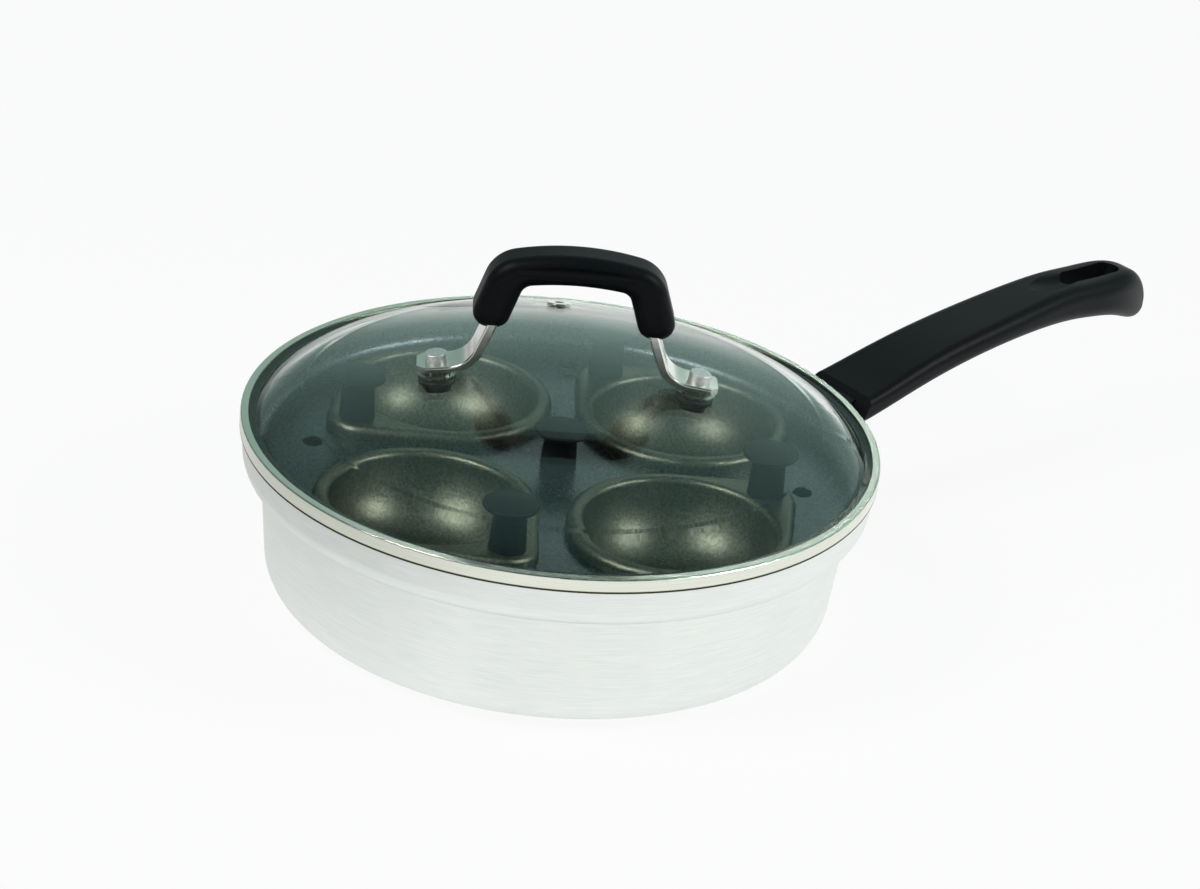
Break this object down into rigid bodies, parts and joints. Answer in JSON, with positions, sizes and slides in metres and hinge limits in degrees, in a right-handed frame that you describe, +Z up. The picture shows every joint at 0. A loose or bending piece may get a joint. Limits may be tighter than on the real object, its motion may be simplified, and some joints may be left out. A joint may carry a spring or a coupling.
{
  "type": "egg poacher pan",
  "caption": "Stepped aluminium pan with a long handle, a lift-out tray of small non-stick egg cups with knobs, and a domed glass lid with an arched grip.",
  "frame": {"origin": "centre of the pan's flat base", "axes": "+Z up out of the pan, +X along the long handle away from the pan"},
  "size_m": [0.3744, 0.206, 0.1204],
  "materials": {
    "satin_aluminium": "satin, spun",
    "black_phenolic": "satin",
    "black_enamel": "satin enamel",
    "dark_nonstick": "finely pebbled non-stick coating",
    "tempered_glass": "clear, polished",
    "stainless_band": "satin",
    "polished_stainless": "polished",
    "plated_steel": "plated",
    "dark_rubber": "matte"
  },
  "bodies": {
    "pan": {"pan_shell": "satin_aluminium", "handle_bracket": "black_enamel", "pan_handle": "black_phenolic", "handle_screw": "plated_steel"},
    "tray": {"poaching_tray": "dark_nonstick", "tray_knob": "black_phenolic", "tray_knob_screw": "plated_steel"},
    "cup_1": {"egg_cup_1": "dark_nonstick", "egg_cup_1_knob": "black_phenolic", "egg_cup_1_screw": "plated_steel"},
    "cup_2": {"egg_cup_2": "dark_nonstick", "egg_cup_2_knob": "black_phenolic", "egg_cup_2_screw": "plated_steel"},
    "cup_3": {"egg_cup_3": "dark_nonstick", "egg_cup_3_knob": "black_phenolic", "egg_cup_3_screw": "plated_steel"},
    "cup_4": {"egg_cup_4": "dark_nonstick", "egg_cup_4_knob": "black_phenolic", "egg_cup_4_screw": "plated_steel"},
    "lid": {"lid_glass": "tempered_glass", "lid_rim": "stainless_band", "lid_vent_grommet": "stainless_band", "lid_collars": "polished_stainless", "lid_bolts": "plated_steel", "lid_gaskets": "dark_rubber", "lid_nuts": "plated_steel", "lid_strap_right": "polished_stainless", "lid_strap_left": "polished_stainless", "lid_grip": "black_phenolic"}
  },
  "joints": [
    {"name": "tray_lift", "type": "slide", "parent": "pan", "child": "tray", "axis": [0, 0, 1], "range_m": [0, 0.09]},
    {"name": "lid_lift", "type": "slide", "parent": "tray", "child": "lid", "axis": [0, 0, 1], "range_m": [0, 0.16]},
    {"name": "cup_1_lift", "type": "slide", "parent": "tray", "child": "cup_1", "axis": [0, 0, 1], "range_m": [0, 0.064]},
    {"name": "cup_2_lift", "type": "slide", "parent": "tray", "child": "cup_2", "axis": [0, 0, 1], "range_m": [0, 0.064]},
    {"name": "cup_3_lift", "type": "slide", "parent": "tray", "child": "cup_3", "axis": [0, 0, 1], "range_m": [0, 0.064]},
    {"name": "cup_4_lift", "type": "slide", "parent": "tray", "child": "cup_4", "axis": [0, 0, 1], "range_m": [0, 0.064]}
  ],
  "couplings": [
    {"joint": "cup_1_lift", "follows": "lid_lift", "ratio": 0.4},
    {"joint": "cup_2_lift", "follows": "lid_lift", "ratio": 0.4},
    {"joint": "cup_3_lift", "follows": "lid_lift", "ratio": 0.4},
    {"joint": "cup_4_lift", "follows": "lid_lift", "ratio": 0.4}
  ]
}
